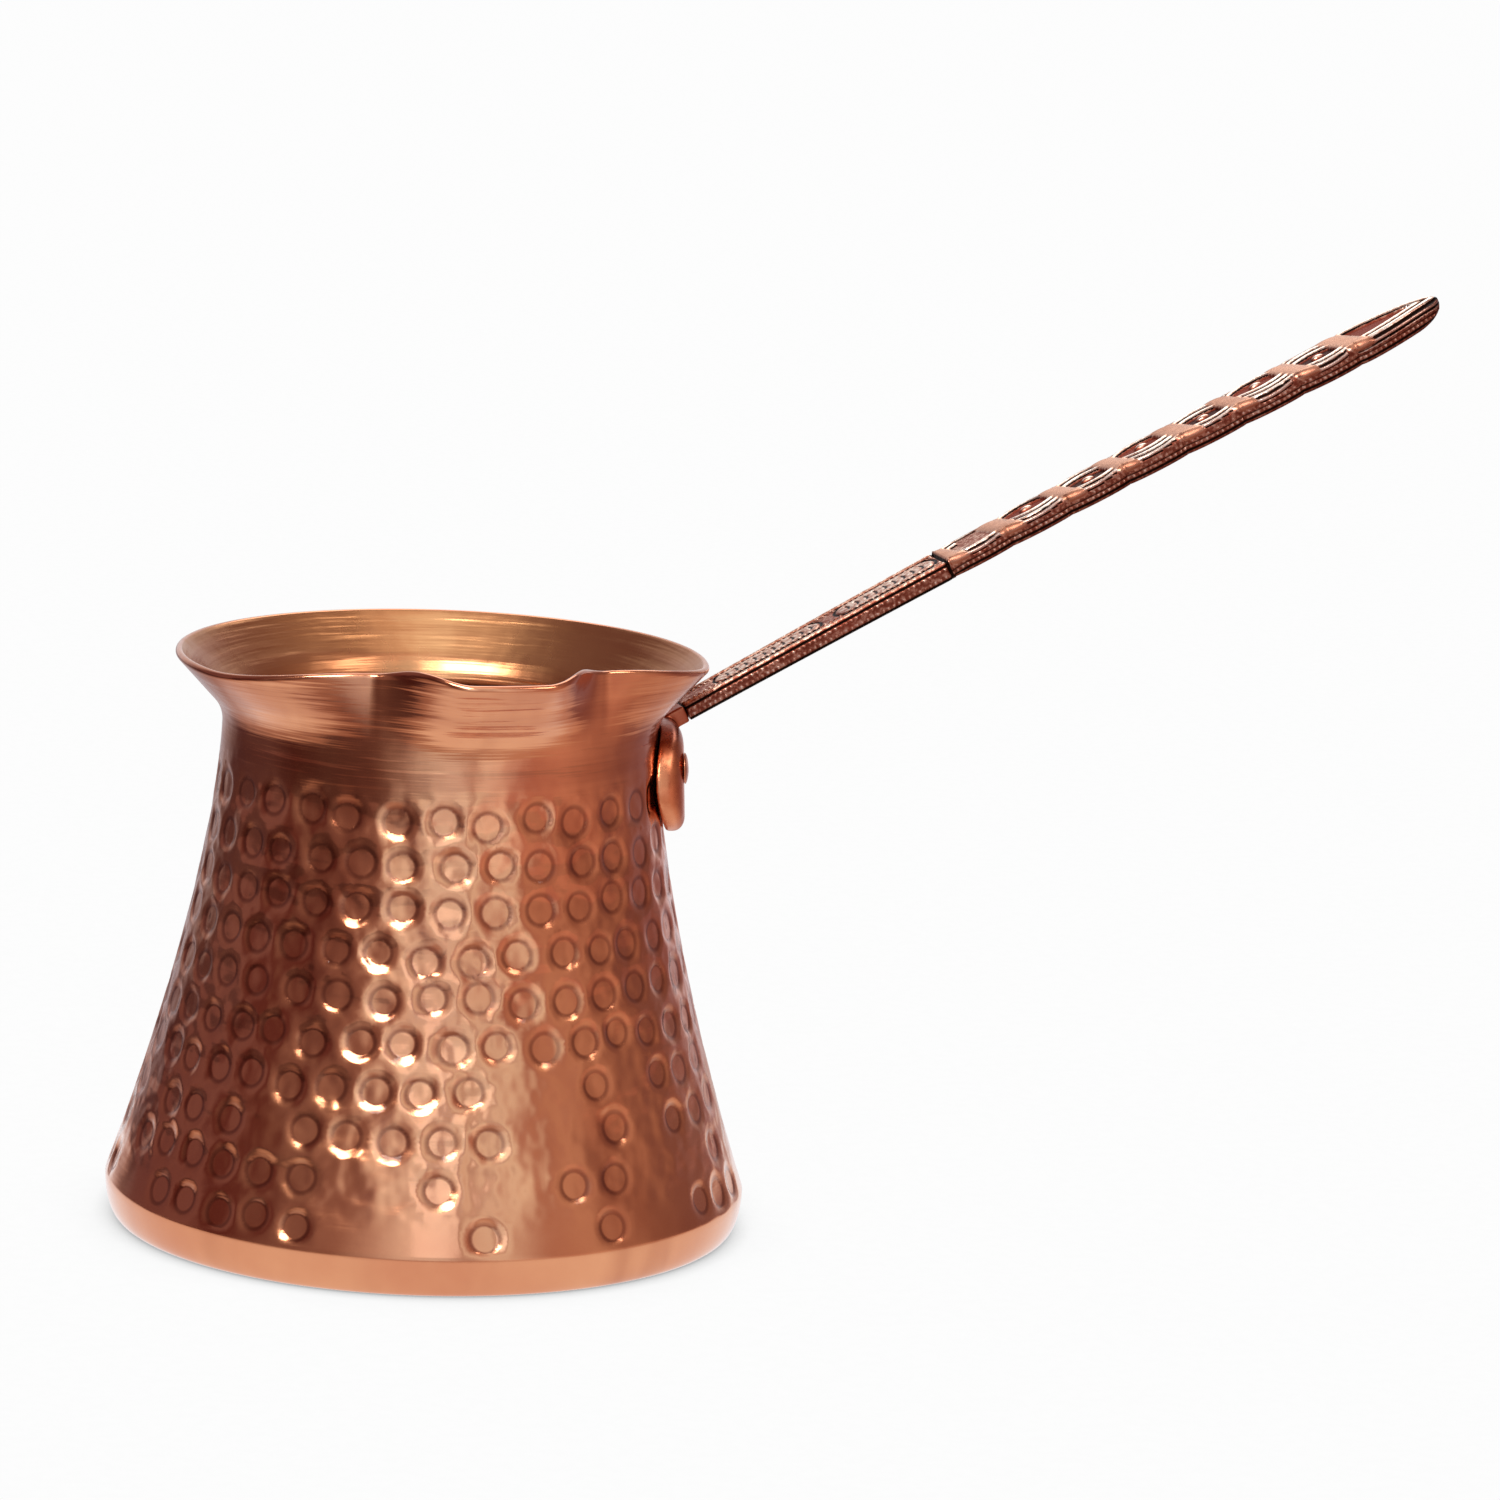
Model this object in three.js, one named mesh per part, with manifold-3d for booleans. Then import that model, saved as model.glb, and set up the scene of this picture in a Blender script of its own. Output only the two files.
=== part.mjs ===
// A Turkish coffee pot (cezve): a copper pot spun from one sheet, a cast bracket riveted
// round its neck, and a long flat handle joined to the bracket by a tongue in a channel.
// Millimetres, +Z up. The origin is the middle of the underside. The handle leaves along
// +X and the pouring spout points along -Y.
import * as THREE from "three";
import { mergeVertices } from "three/addons/utils/BufferGeometryUtils.js";
import Module from "manifold-3d";

const wasm = await Module();
wasm.setup();

// ---- Driving dimensions -------------------------------------------------------------
const SHEET = 1.2; // thickness of the spun copper
const GAP = 0.3; // clearance left between neighbouring pieces
const SEGMENTS = 72; // steps round the pot
const UP = new THREE.Vector3(0, 1, 0);

// Pot: a flat base, a rounded foot edge, a hollow-sided cone, a neck and a flared rim.
const FOOT = { flatRadius: 47.8, widestRadius: 50, height: 6.2, steps: 4 };
const NECK = { radius: 33.8, height: 78.3 };
const WALL_PULL_LOW = new THREE.Vector2(42, 29);
const WALL_PULL_HIGH = new THREE.Vector2(34.2, 60);
const WALL_STEPS = 9;
const FLARE = { length: 12.9, bend: 4.5, lean: rad(43) };
const FLARE_STEPS = [0.12, 0.24, 0.36, 0.6, 0.8, 1];

// Spout: the flare is pinched upright at two shoulders, with a lip leaning out between
// them. Angles from the middle of the spout are in degrees.
const SPOUT = { azimuth: -90 };
const LIP = { lean: rad(34), full: 8, gone: 30 };
const CREASE = { at: 33, recovered: 75 };
const STRETCH = { length: 1.85, full: 14, gone: 34 };

// Bracket: a thick shield-shaped plate that hugs the neck under the handle.
const PLATE = { bottom: 63, top: 79.6, outerLow: 38.6, outerHigh: 37.7 };
const PLATE_HALF_WIDTH = { bottom: 9.5, widest: 17, widestAt: 70.5, top: 12 };

// Handle: a flat bar that leaves the neck at a slope, plain at first and scalloped after.
const HANDLE = { root: [39.7, 79.05], slope: rad(28.25), length: 140.2, droop: 1.15e-4 };
const BAR = { rootWidth: 6.2, tipWidth: 11.5, rootThickness: 2.75, tipThickness: 3.7 };
const SCALLOPS = { start: 48.2, count: 7, pitch: 10.7, depth: 0.16, stepsEach: 8 };
const TIP = { round: 6, underside: 2.2, top: 0.6 }; // how the bar thins towards its tip
const TONGUE = { width: 2.4, height: 1.3, length: 10, lug: 4 };

// Rivets: shank through bracket and pot, a domed head outside, a flatter one inside.
const RIVET = { shank: 1.3, head: 2.5, domeHeight: 0.55, peenHeight: 0.5 };
const RIVET_PLACES = {
  bracket_rivet_spout_side: { azimuth: -19, height: 73 },
  bracket_rivet_back_side: { azimuth: 19, height: 73 },
  bracket_rivet_lower: { azimuth: 0, height: 66.6 },
};

const copper = { color: 0xb8673f, roughness: 0.32, metalness: 1 };
const redCopper = { color: 0xb0552e, roughness: 0.36, metalness: 1 };
const agedCopper = { color: 0xa5705a, roughness: 0.42, metalness: 1 };

// ---- Helpers ------------------------------------------------------------------------
function rad(degrees) {
  return (degrees * Math.PI) / 180;
}

function toSolid(geometry) {
  const bare = geometry.clone();
  bare.deleteAttribute("normal");
  bare.deleteAttribute("uv");
  const merged = mergeVertices(bare, 1e-4);
  return new wasm.Manifold(
    new wasm.Mesh({
      numProp: 3,
      vertProperties: merged.attributes.position.array,
      triVerts: new Uint32Array(merged.index.array),
    }),
  );
}

function toGeometry(solid) {
  const mesh = solid.getMesh();
  const geometry = new THREE.BufferGeometry();
  geometry.setAttribute("position", new THREE.BufferAttribute(mesh.vertProperties, 3));
  geometry.setIndex(new THREE.BufferAttribute(mesh.triVerts, 1));
  geometry.computeVertexNormals();
  return geometry;
}

function namedMesh(name, geometry, finish) {
  const mesh = new THREE.Mesh(geometry, new THREE.MeshStandardMaterial(finish));
  mesh.name = name;
  return mesh;
}

// A closed skin through loops of points, each loop with the same number of points.
// The two ends are closed by fans round their middles.
function skin(loops) {
  const count = loops[0].length;
  const positions = loops.flat();
  const index = [];
  for (let k = 0; k + 1 < loops.length; k += 1) {
    for (let j = 0; j < count; j += 1) {
      const a = k * count + j;
      const b = k * count + ((j + 1) % count);
      index.push(a, b, a + count, b, b + count, a + count);
    }
  }
  for (const end of [0, loops.length - 1]) {
    const middle = new THREE.Vector3();
    loops[end].forEach((point) => middle.addScaledVector(point, 1 / count));
    positions.push(middle);
    for (let j = 0; j < count; j += 1) {
      const a = end * count + j;
      const b = end * count + ((j + 1) % count);
      index.push(...(end ? [a, b, positions.length - 1] : [b, a, positions.length - 1]));
    }
  }
  const geometry = new THREE.BufferGeometry().setFromPoints(positions);
  geometry.setIndex(index);
  return geometry;
}

// ---- Pot body -----------------------------------------------------------------------
// How far the flare leans from upright, by the angle from the middle of the spout.
function flareLean(degreesFromSpout) {
  const away = Math.abs(degreesFromSpout);
  if (away < CREASE.at) {
    return LIP.lean * (1 - THREE.MathUtils.smoothstep(away, LIP.full, LIP.gone));
  }
  const share = Math.min((away - CREASE.at) / (CREASE.recovered - CREASE.at), 1);
  return FLARE.lean * Math.sin((Math.PI / 2) * share);
}

// The lip is drawn out a little longer than the rest of the flare.
function flareLength(degreesFromSpout) {
  const away = Math.abs(degreesFromSpout);
  const faded = THREE.MathUtils.smoothstep(away, STRETCH.full, STRETCH.gone);
  return FLARE.length + STRETCH.length * (1 - faded);
}

// Stations up the outside of the sheet: radius, height, and lean of the sheet from upright.
const foot = new THREE.EllipseCurve(
  FOOT.flatRadius,
  FOOT.height,
  FOOT.widestRadius - FOOT.flatRadius,
  FOOT.height,
  -Math.PI / 2,
  0,
);
const wall = new THREE.CubicBezierCurve(
  new THREE.Vector2(FOOT.widestRadius, FOOT.height),
  WALL_PULL_LOW,
  WALL_PULL_HIGH,
  new THREE.Vector2(NECK.radius, NECK.height),
);

function stationsOn(curve, steps, first) {
  const stations = [];
  for (let i = first; i <= steps; i += 1) {
    const at = curve.getPoint(i / steps);
    const along = curve.getTangent(i / steps);
    stations.push({ r: at.x, z: at.y, lean: Math.atan2(along.x, along.y) });
  }
  return stations;
}

function flareStation(fraction, fullLean, length) {
  const lean = Math.max(fullLean, 1e-3);
  const along = fraction * length;
  const angle = lean * Math.min(along / FLARE.bend, 1);
  const straight = Math.max(along - FLARE.bend, 0);
  const bendRadius = FLARE.bend / lean;
  return {
    r: NECK.radius + bendRadius * (1 - Math.cos(angle)) + straight * Math.sin(lean),
    z: NECK.height + bendRadius * Math.sin(angle) + straight * Math.cos(lean),
    lean: angle,
  };
}

function sheetOutline(degreesFromSpout) {
  const lean = flareLean(degreesFromSpout);
  const length = flareLength(degreesFromSpout);
  return [
    ...stationsOn(foot, FOOT.steps, 0),
    ...stationsOn(wall, WALL_STEPS, 1),
    ...FLARE_STEPS.map((fraction) => flareStation(fraction, lean, length)),
  ];
}

function potGeometry() {
  const columns = [];
  for (let j = 0; j < SEGMENTS; j += 1) {
    const azimuth = (360 * j) / SEGMENTS;
    const fromSpout = ((azimuth - SPOUT.azimuth + 180) % 360) - 180;
    const outside = sheetOutline(fromSpout);
    const inside = outside.map(({ r, z, lean }) => ({
      r: r - SHEET * Math.cos(lean),
      z: z + SHEET * Math.sin(lean),
    }));
    const turn = rad(azimuth);
    columns.push(
      [...outside, ...inside.reverse()].map(
        ({ r, z }) => new THREE.Vector3(r * Math.cos(turn), r * Math.sin(turn), z),
      ),
    );
  }
  return skin(columns[0].map((_, k) => columns.map((column) => column[k])));
}

// ---- Rivets -------------------------------------------------------------------------
// The wall's radius and lean at a height, found by halving along the wall curve.
function wallAt(height) {
  let low = 0;
  let high = 1;
  while (high - low > 1e-6) {
    const middle = (low + high) / 2;
    if (wall.getPoint(middle).y < height) {
      low = middle;
    } else {
      high = middle;
    }
  }
  const along = wall.getTangent(low);
  return { radius: wall.getPoint(low).x, lean: Math.atan2(along.x, along.y) };
}

// A rivet's seat is on the pot's outside. Its axis leaves square to the sheet.
function placeOnWall(object, { azimuth, height }) {
  const { radius, lean } = wallAt(height);
  const turn = rad(azimuth);
  const outward = new THREE.Vector3(
    Math.cos(lean) * Math.cos(turn),
    Math.cos(lean) * Math.sin(turn),
    -Math.sin(lean),
  );
  object.position.set(radius * Math.cos(turn), radius * Math.sin(turn), height);
  object.quaternion.setFromUnitVectors(UP, outward);
  object.updateMatrix();
  return object;
}

function plateOuterRadius(height) {
  const share = (height - PLATE.bottom) / (PLATE.top - PLATE.bottom);
  return THREE.MathUtils.lerp(PLATE.outerLow, PLATE.outerHigh, share);
}

function rivetGeometry({ height }) {
  const outer = plateOuterRadius(height) - wallAt(height).radius + GAP;
  const inner = -SHEET - GAP;
  const { shank, head, domeHeight, peenHeight } = RIVET;
  const profile = [
    [0, inner - peenHeight],
    [head * 0.65, inner - peenHeight * 0.85],
    [head, inner - peenHeight * 0.25],
    [head, inner],
    [shank, inner],
    [shank, outer],
    [head, outer],
    [head * 0.9, outer + domeHeight * 0.45],
    [head * 0.5, outer + domeHeight * 0.88],
    [0, outer + domeHeight],
  ];
  return new THREE.LatheGeometry(
    profile.map(([r, y]) => new THREE.Vector2(r, y)),
    20,
  );
}

function rivetHole(place) {
  const drill = placeOnWall(new THREE.Object3D(), place);
  const bore = new THREE.CylinderGeometry(RIVET.shank + GAP, RIVET.shank + GAP, 16, 20);
  return toSolid(bore.applyMatrix4(drill.matrix));
}

function drilled(solid) {
  return Object.values(RIVET_PLACES).reduce(
    (left, place) => left.subtract(rivetHole(place)),
    solid,
  );
}

// ---- Handle -------------------------------------------------------------------------
// The handle's own frame: x along the bar from its root, y across it, z square to it.
const handleFrame = new THREE.Group();
handleFrame.position.set(HANDLE.root[0], 0, HANDLE.root[1]);
handleFrame.rotation.y = -HANDLE.slope;
handleFrame.updateMatrix();

function barHalfWidth(x) {
  const { rootWidth, tipWidth } = BAR;
  const { start, count, pitch, depth } = SCALLOPS;
  const plain = THREE.MathUtils.lerp(rootWidth, tipWidth, x / HANDLE.length) / 2;
  if (x < start) {
    return plain;
  }
  const scallopsEnd = start + count * pitch;
  if (x < scallopsEnd) {
    const bulge = Math.abs(Math.sin((Math.PI * (x - start)) / pitch));
    return plain * (1 - depth + depth * Math.sqrt(bulge));
  }
  // The leaf at the tip: widest early, then closing to a point.
  const leaf = (x - scallopsEnd) / (HANDLE.length - scallopsEnd);
  const swell = Math.sin(Math.PI * Math.sqrt(leaf));
  return plain * ((1 - depth) * Math.sqrt(Math.max(1 - leaf, 0)) + depth * swell);
}

// A slice across the bar: flat below, rounded edges, slightly crowned above.
function barSlice(x) {
  const half = Math.max(barHalfWidth(x), 0.35);
  const { rootThickness, tipThickness } = BAR;
  const thick = THREE.MathUtils.lerp(rootThickness, tipThickness, x / HANDLE.length);
  const toTip = Math.max(1 - (HANDLE.length - x) / TIP.round, 0);
  const thinned = 1 - Math.sqrt(Math.max(1 - toTip * toTip, 0));
  const underside = TIP.underside * thinned - HANDLE.droop * x * x;
  const height = thick - (TIP.underside + TIP.top) * thinned;
  const outline = [
    [-0.86, 0],
    [0.86, 0],
    [1, 0.25],
    [1, 0.72],
    [0.7, 0.97],
    [0, 1.05],
    [-0.7, 0.97],
    [-1, 0.72],
    [-1, 0.25],
  ];
  return outline.map(([y, z]) => new THREE.Vector3(x, y * half, underside + z * height));
}

function handleGeometry() {
  const { start, count, pitch, stepsEach } = SCALLOPS;
  const scallopsEnd = start + count * pitch;
  const places = [GAP / 2, start / 3, (2 * start) / 3];
  for (let i = 0; i < count * stepsEach; i += 1) {
    places.push(start + (i * pitch) / stepsEach);
  }
  for (let i = 0; i <= stepsEach; i += 1) {
    places.push(THREE.MathUtils.lerp(scallopsEnd, HANDLE.length, i / stepsEach));
  }
  const bar = toSolid(skin(places.map(barSlice)));
  return toGeometry(bar.subtract(toSolid(tongueBox(GAP))));
}

// The tongue's block, in the handle's frame, grown by a clearance to make its channel.
function tongueBox(clearance) {
  const length = TONGUE.length + 2 + clearance;
  const height = TONGUE.height + (clearance ? clearance + 1 : 0);
  const box = new THREE.BoxGeometry(length, TONGUE.width + 2 * clearance, height);
  return box.translate(length / 2 - 2, 0, height / 2 - (clearance ? 1 : 0));
}

// ---- Bracket ------------------------------------------------------------------------
function plateSolid() {
  // A ring round the neck: its inside follows the pot, its outside is a shallow cone.
  const ring = [];
  for (let i = 0; i <= 5; i += 1) {
    const height = THREE.MathUtils.lerp(PLATE.bottom, NECK.height, i / 5);
    ring.push(new THREE.Vector2(wallAt(height).radius + GAP, height));
  }
  ring.push(new THREE.Vector2(NECK.radius + 2 * GAP, PLATE.top));
  ring.push(new THREE.Vector2(PLATE.outerHigh, PLATE.top));
  ring.push(new THREE.Vector2(PLATE.outerLow, PLATE.bottom));
  ring.push(ring[0].clone());
  const lathe = new THREE.LatheGeometry(ring.reverse(), 120);
  lathe.rotateX(Math.PI / 2);

  // The shield outline, drawn across (x) and up (y), then extruded through the ring.
  const { bottom, widest, widestAt, top } = PLATE_HALF_WIDTH;
  const shield = new THREE.Shape();
  shield.moveTo(-bottom, PLATE.bottom);
  shield.lineTo(bottom, PLATE.bottom);
  shield.bezierCurveTo(bottom + 4, PLATE.bottom, widest, widestAt - 4, widest, widestAt);
  shield.bezierCurveTo(widest, widestAt + 4, top, PLATE.top - 5, top, PLATE.top);
  shield.lineTo(-top, PLATE.top);
  shield.bezierCurveTo(-top, PLATE.top - 5, -widest, widestAt + 4, -widest, widestAt);
  shield.bezierCurveTo(-widest, widestAt - 4, -bottom - 4, PLATE.bottom, -bottom, PLATE.bottom);
  const prism = new THREE.ExtrudeGeometry(shield, {
    depth: FOOT.widestRadius,
    bevelEnabled: false,
    curveSegments: 7,
  });
  prism.rotateX(Math.PI / 2);
  prism.rotateZ(Math.PI / 2);
  return toSolid(lathe).intersect(toSolid(prism));
}

function bracketGeometry() {
  const lug = new THREE.BoxGeometry(TONGUE.lug, BAR.rootWidth, BAR.rootThickness);
  lug.translate(-TONGUE.lug / 2 - GAP / 2, 0, BAR.rootThickness / 2);
  const arm = toSolid(lug.applyMatrix4(handleFrame.matrix)).add(
    toSolid(tongueBox(0).applyMatrix4(handleFrame.matrix)),
  );
  return toGeometry(drilled(plateSolid().add(arm)));
}

// ---- Assembly -----------------------------------------------------------------------
const pot = new THREE.Group();
pot.add(namedMesh("pot_body", toGeometry(drilled(toSolid(potGeometry()))), copper));
pot.add(namedMesh("handle_bracket", bracketGeometry(), redCopper));

for (const [name, place] of Object.entries(RIVET_PLACES)) {
  pot.add(placeOnWall(namedMesh(name, rivetGeometry(place), copper), place));
}

handleFrame.add(namedMesh("handle", handleGeometry(), agedCopper));
pot.add(handleFrame);

export default pot;
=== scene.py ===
# The looks of a hammered copper Turkish coffee pot (cezve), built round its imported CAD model.
# Sizes are in millimetres and are turned into metres when a mesh is made. +Z is up, the
# handle leaves along +X and the pouring spout points along -Y, as in the CAD frame.
import math

import bmesh
import bpy
import numpy as np
from mathutils import Matrix, Vector, geometry

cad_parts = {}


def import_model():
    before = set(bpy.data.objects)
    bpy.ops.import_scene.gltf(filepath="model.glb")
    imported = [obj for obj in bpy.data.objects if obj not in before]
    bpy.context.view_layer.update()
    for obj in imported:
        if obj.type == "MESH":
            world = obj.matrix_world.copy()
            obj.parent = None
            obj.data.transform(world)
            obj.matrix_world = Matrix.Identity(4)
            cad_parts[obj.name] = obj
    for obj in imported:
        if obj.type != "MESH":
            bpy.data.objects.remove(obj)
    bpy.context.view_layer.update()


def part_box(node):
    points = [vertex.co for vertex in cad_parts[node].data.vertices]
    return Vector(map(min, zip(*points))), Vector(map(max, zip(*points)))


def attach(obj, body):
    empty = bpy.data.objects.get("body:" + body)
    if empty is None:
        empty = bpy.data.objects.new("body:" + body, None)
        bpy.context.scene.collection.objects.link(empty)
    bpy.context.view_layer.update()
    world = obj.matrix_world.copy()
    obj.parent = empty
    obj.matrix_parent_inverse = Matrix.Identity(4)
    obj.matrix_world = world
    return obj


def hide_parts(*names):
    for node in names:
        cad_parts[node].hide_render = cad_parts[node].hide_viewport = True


MM = 0.001
SEED = 20

# ---- Driving dimensions, the same ones as the CAD model's ----
SHEET = 1.2
GAP = 0.3
FOOT_FLAT_RADIUS = 47.8
FOOT_RADIUS = 50.0
FOOT_HEIGHT = 6.2
NECK_RADIUS = 33.8
NECK_HEIGHT = 78.3
WALL_CURVE = ((FOOT_RADIUS, FOOT_HEIGHT), (42, 29), (34.2, 60), (NECK_RADIUS, NECK_HEIGHT))
FLARE_LENGTH = 12.9
FLARE_BEND = 4.5
FLARE_LEAN = math.radians(43)
LEAST_LEAN = 1e-3  # keeps the bend's radius finite where the flare stands upright
SPOUT_AZIMUTH = -90.0
LIP_LEAN = math.radians(34)
LIP_FULL, LIP_GONE = 8.0, 30.0
CREASE_AT, CREASE_RECOVERED = 33.0, 75.0
STRETCH = 1.85
STRETCH_FULL, STRETCH_GONE = 14.0, 34.0

HANDLE_ROOT = (39.7, 79.05)
HANDLE_SLOPE = math.radians(28.25)
HANDLE_LENGTH = 140.2
HANDLE_DROOP = 1.15e-4
BAR_WIDTH = (6.2, 11.5)
BAR_THICKNESS = (2.75, 3.7)
LOW_CORNER = 0.5  # rounding of the bar's lower edges
LEAST_HALF = 0.3  # half of the bar's width at the very tip
CELLS_START, CELL_COUNT, CELL_PITCH = 48.2, 7, 10.7
LEAF_START = CELLS_START + CELL_COUNT * CELL_PITCH  # past the last cell, the leaf-shaped tip
NOTCH_DEPTH = 0.16  # of the plain width, between the cells
PANELS = ((6.5, 26.0), (28.6, 47.0))
SCORE_PITCH = 1.7  # of the chevrons scored across a panel
RIM_INSET, RIM_TO_GROOVE, RIM_TO_BEADS = 0.45, 0.6, 1.15  # all inwards from the plain end's edge
BEAD_PITCH, BEAD, SMALL_BEAD = 0.95, 0.25, 0.22  # rows of beads: spacing, and bead radii
KNUCKLE = 1.95  # half of a knuckle's length along the bar
KNUCKLE_SHIFT, KNUCKLE_SLANT = 0.35, 0.24  # to and fro along the bar, and per millimetre across
EYE_BOW = 1.9  # how far the ridges bow out round an eye
EYE_OFFSETS = (-0.12, 0.3)  # of the half width, in even and odd cells
EYE_SHADES = (0.5, 0.12)  # how much painted shade darkens the hollow round an eye, the same way
RIDGE_PITCH, RIDGE_HEIGHT, GROOVE_DEPTH = 1.8, 0.55, 0.25
LEAF_PITCH = 1.6  # between the ridges that follow the leaf's edge round the tip
LEAF_RIDGES = (2.3, 1.0)  # how many of them, on the spout's side and on the other side
SIDE_CROWDING = 1.9  # how much closer the ridges run once over the edge
TIP_ROUND, TIP_UNDERSIDE, TIP_TOP = 6.0, 2.2, 0.6
TONGUE_WIDTH, TONGUE_HEIGHT, TONGUE_LENGTH, LUG_LENGTH = 2.4, 1.3, 10.0, 4.0

PLATE_BOTTOM, PLATE_TOP = 63.0, 79.6
PLATE_OUTER_LOW, PLATE_OUTER_HIGH = 38.6, 37.7
PLATE_FOOT, PLATE_WIDEST, PLATE_HEAD = 9.5, (17.0, 70.5), 12.0
PLATE_SHOULDER = 1.6  # how far the plate's top falls away to its sides
PLATE_EDGE, PLATE_EDGE_REACH = 1.8, 3.0  # rounding of the outer edges: down, and inwards
RIVET_SHANK, RIVET_HEAD = 1.3, 2.5
RIVET_DOME, RIVET_PEEN = 0.55, 0.5
RIVET_BRIM, RIVET_RISE = 0.12, 0.05  # the head's rim: in from its edge, and up from its seat
RIVET_DENT = 0.02
SEAT = 0.12  # how far a rivet's head stands off what it holds
RIVETS = {
    "bracket_rivet_spout_side": (-19.0, 73.0),
    "bracket_rivet_back_side": (19.0, 73.0),
    "bracket_rivet_lower": (0.0, 66.6),
}

# ---- Hammering ----
COLUMNS = 320  # steps round the pot's rings
PIT_RADIUS = 2.95
PIT_DEPTH = 0.4
# The pit's section, with distances from its middle in pit radii.
PIT_FLOOR, PIT_CORNER, PIT_WALL = 0.7, 0.68, 1.22  # floor's edge, wall's foot and wall's top
PIT_REACH = 1.45  # nothing is sunk or raised further out than this
PIT_DISH = 0.14  # how much shallower the floor is at its edge than in the middle
PIT_LIP = 0.03  # height of the lip thrown up round a pit
PIT_SPREAD = (0.3, 0.32)  # scatter of the pits' places, across and up
PIT_SIZES, PIT_DEPTHS = (0.94, 1.05), (0.75, 1.15)  # least and most of the radius and depth
PIT_TILT = 0.02
PITS_MISSED = 0.14  # share of the pits left out in the lower rows
# Rings of mesh points round a pit: their radius in pit radii, and how many points.
PIT_RINGS = (
    (0.34, 9), (0.6, 16), (0.69, 20), (0.77, 22), (0.87, 24), (0.98, 26), (1.1, 26), (1.24, 24),
)
INSIDE_BUMP = 0.13  # how far a blow shows as a bump on the inside
INSIDE_CORNER = 3.2  # rounding between the wall and the bottom inside
FILL_STEP, FILL_CLEARANCE = 1.25, 1.3  # mesh between the pits, and its distance in pit radii
FILL_SCATTER, FILL_RADIUS = 0.06, 42.0  # scatter of that mesh, and the radius it is taken at
UNROLLED_AT = 40.0  # the height whose radius the unrolled wall is measured with
PIT_ROWS = 10
PIT_TOP_ROW = 70.0
PIT_ROW_PITCH = 6.72
PIT_PITCH = 7.15
FULL_ROWS = 6  # rows struck all the way round; the rows under them are struck in patches
# The struck patches of the lower rows: from and to, in degrees round from +X, and the row
# each stops at.
PATCHES = (
    (-174, -144, 10), (-138, -122, 10), (-122, -108, 8), (-108, -89, 10), (-76, -61, 10),
    (-50, -24, 10), (-14, 6, 9), (18, 44, 10), (56, 84, 8), (96, 112, 10), (124, 152, 9),
    (164, 178, 10),
)
STRUCK_HEIGHTS = (5.5, 75.0)  # the wall between these heights is meshed to suit the pits
STRUCK_MARGIN = 1.2  # how far up the wall from the lower height the pit mesh starts


# ---- Helpers ----
def smoothstep(value, low, high):
    share = np.clip((value - low) / (high - low), 0.0, 1.0)
    return share * share * (3 - 2 * share)


def direction(turn, rise):
    """The unit vector at an angle round +Z from +X and an angle above the horizontal."""
    return Vector(
        (math.cos(turn) * math.cos(rise), math.sin(turn) * math.cos(rise), math.sin(rise))
    )


def facing(place, way):
    """The frame at a place whose +Z points the given way."""
    return Matrix.Translation(place) @ way.to_track_quat("Z", "Y").to_matrix().to_4x4()


def link_object(name, data):
    """A new object in the scene that holds the given mesh, light or camera."""
    made = bpy.data.objects.new(name, data)
    bpy.context.scene.collection.objects.link(made)
    return made


def make_object(name, points, faces, values=None):
    """A mesh object from points in millimetres, with named values on its points."""
    mesh = bpy.data.meshes.new(name)
    mesh.from_pydata((np.asarray(points, float) * MM).tolist(), [], faces)
    for title, numbers in (values or {}).items():
        attribute = mesh.attributes.new(title, "FLOAT", "POINT")
        attribute.data.foreach_set("value", np.asarray(numbers, np.float32))
    mesh.update()
    face_outwards(mesh)
    mesh.shade_smooth()
    return link_object(name, mesh)


def face_outwards(mesh):
    """Turns a closed mesh the right way out."""
    shape = bmesh.new()
    shape.from_mesh(mesh)
    if shape.calc_volume(signed=True) < 0:
        bmesh.ops.reverse_faces(shape, faces=shape.faces)
        shape.to_mesh(mesh)
    shape.free()


def closed_tube(rings, count, gap=None):
    """Faces of a tube of rings whose ends close on two points that follow the rings' own.
    The band above the ring numbered gap is left open."""
    steps = [(j, (j + 1) % count) for j in range(count)]
    faces = []
    for k in range(rings - 1):
        if k != gap:
            low, high = k * count, (k + 1) * count
            faces += [(low + a, low + b, high + b, high + a) for a, b in steps]
    last, middle = (rings - 1) * count, rings * count
    faces += [(b, a, middle) for a, b in steps]
    faces += [(last + a, last + b, middle + 1) for a, b in steps]
    return faces


# ---- Pot: the outline of the sheet ----
def cubic(a, b, c, d, share):
    """Points of a Bezier curve at shares of the way along it, and its slope there."""
    a, b, c, d = (np.array(point, float) for point in (a, b, c, d))
    share = share[:, None]
    rest = 1 - share
    at = rest**3 * a + 3 * rest**2 * share * b + 3 * rest * share**2 * c + share**3 * d
    slope = 3 * rest**2 * (b - a) + 6 * rest * share * (c - b) + 3 * share**2 * (d - c)
    return at, slope


def wall_table():
    """Rows of arc length, radius, height and lean up the outside of the wall."""
    at, slope = cubic(*WALL_CURVE, np.linspace(0, 1, 600))
    length = np.concatenate([[0], np.cumsum(np.hypot(*np.diff(at, axis=0).T))])
    return length, at[:, 0], at[:, 1], np.arctan2(slope[:, 0], slope[:, 1])


WALL = wall_table()


def wall_at(length):
    return tuple(np.interp(length, WALL[0], column) for column in WALL[1:])


def length_at(height):
    return float(np.interp(height, WALL[2], WALL[0]))


def flare_lean(degrees):
    away = np.abs(degrees)
    lip = LIP_LEAN * (1 - smoothstep(away, LIP_FULL, LIP_GONE))
    share = np.clip((away - CREASE_AT) / (CREASE_RECOVERED - CREASE_AT), 0, 1)
    return np.where(away < CREASE_AT, lip, FLARE_LEAN * np.sin(math.pi / 2 * share))


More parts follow.
